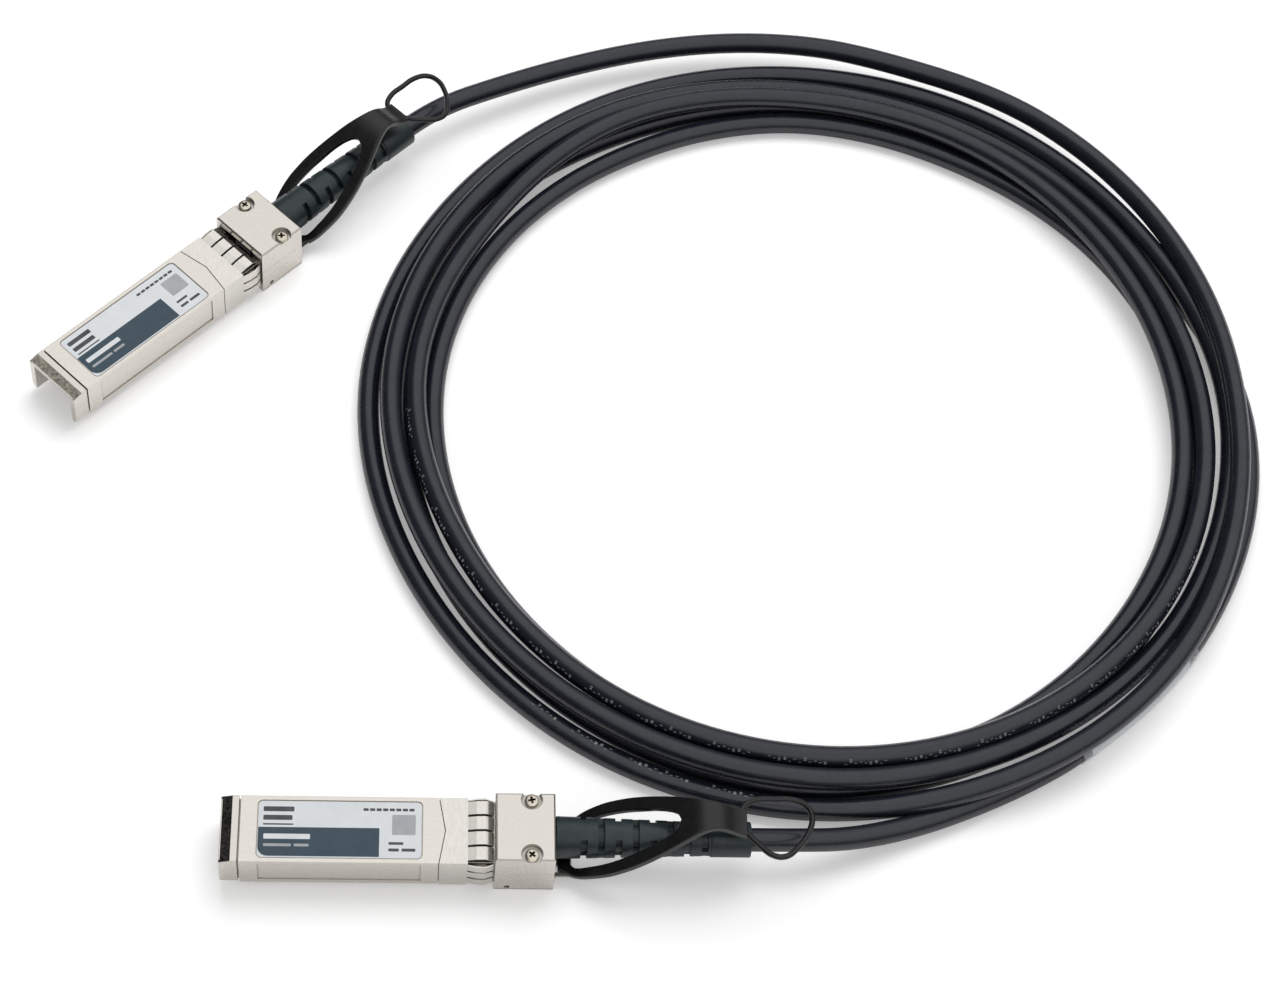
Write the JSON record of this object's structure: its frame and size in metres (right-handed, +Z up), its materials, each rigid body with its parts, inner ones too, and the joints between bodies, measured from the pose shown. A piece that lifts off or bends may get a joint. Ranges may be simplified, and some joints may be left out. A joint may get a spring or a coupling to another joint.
{
  "type": "direct attach copper cable",
  "caption": "Coiled copper network cable with a small pluggable metal plug, ribbed boot and black pull tab on each end.",
  "frame": {"origin": "centre of the underside of the near plug's backshell, on the surface that the cable lies on", "axes": "+X along the near plug from its nose to the cable, +Y towards the coil, +Z up from the surface"},
  "size_m": [0.2526, 0.2068, 0.0177],
  "materials": {
    "nickel_casting": "satin nickel plate on a zinc casting",
    "nickel_sheet": "satin nickel plated sheet",
    "label_film": "printed film with a slate band",
    "circuit_card": "green solder mask",
    "gold_plate": "gold plate",
    "ceramic": "fired ceramic",
    "black_plastic": "moulded package",
    "foil_pairs": "foil wrapped pairs",
    "screw_steel": "plated steel",
    "latch_steel": "nickel plated steel",
    "tab_plastic": "satin moulded plastic",
    "boot_rubber": "moulded elastomer",
    "cable_jacket": "smooth satin jacket",
    "clear_sleeve": "clear sleeve over a paper marker"
  },
  "bodies": {
    "shells_and_cable": {"cable_coil": "cable_jacket", "far_base_housing": "nickel_casting", "far_cable_end": "cable_jacket", "far_card_contacts": "gold_plate", "far_coupling_capacitors": "ceramic", "far_cover_screws": "screw_steel", "far_crimp_ferrule": "gold_plate", "far_emi_collar": "nickel_sheet", "far_label": "label_film", "far_latch_pin": "screw_steel", "far_lead": "cable_jacket", "far_memory_chip": "black_plastic", "far_paddle_card": "circuit_card", "far_signal_pairs": "foil_pairs", "far_strain_relief_boot": "boot_rubber", "far_top_cover": "nickel_sheet", "far_top_housing": "nickel_casting", "label_sleeve": "clear_sleeve", "near_base_housing": "nickel_casting", "near_cable_end": "cable_jacket", "near_card_contacts": "gold_plate", "near_coupling_capacitors": "ceramic", "near_cover_screws": "screw_steel", "near_crimp_ferrule": "gold_plate", "near_emi_collar": "nickel_sheet", "near_label": "label_film", "near_latch_pin": "screw_steel", "near_lead": "cable_jacket", "near_memory_chip": "black_plastic", "near_paddle_card": "circuit_card", "near_signal_pairs": "foil_pairs", "near_strain_relief_boot": "boot_rubber", "near_top_cover": "nickel_sheet", "near_top_housing": "nickel_casting"},
    "near_pull": {"near_actuator_slide": "latch_steel", "near_pull_tab": "tab_plastic"},
    "near_latch": {"near_latch_lever": "latch_steel", "near_latch_spring": "screw_steel"},
    "far_pull": {"far_actuator_slide": "latch_steel", "far_pull_tab": "tab_plastic"},
    "far_latch": {"far_latch_lever": "latch_steel", "far_latch_spring": "screw_steel"}
  },
  "joints": [
    {"name": "near_pull", "type": "slide", "parent": "shells_and_cable", "child": "near_pull", "axis": [1, 0, 0], "range_m": [0, 0.0025], "stiffness_N_per_m": 600, "springref_m": -0.001},
    {"name": "near_latch", "type": "hinge", "parent": "shells_and_cable", "child": "near_latch", "pos_m": [-0.0031, 0, 0.001], "axis": [0, 1, 0], "range_deg": [0, 7.5]},
    {"name": "far_pull", "type": "slide", "parent": "shells_and_cable", "child": "far_pull", "axis": [0.7071, 0.7071, 0], "range_m": [0, 0.0025], "stiffness_N_per_m": 600, "springref_m": -0.001},
    {"name": "far_latch", "type": "hinge", "parent": "shells_and_cable", "child": "far_latch", "pos_m": [-0.05659, 0.13621, 0.001], "axis": [-0.7071, 0.7071, 0], "range_deg": [0, 7.5]}
  ],
  "couplings": [
    {"joint": "near_latch", "follows": "near_pull", "rad_per_m": 52.3},
    {"joint": "far_latch", "follows": "far_pull", "rad_per_m": 52.3}
  ]
}
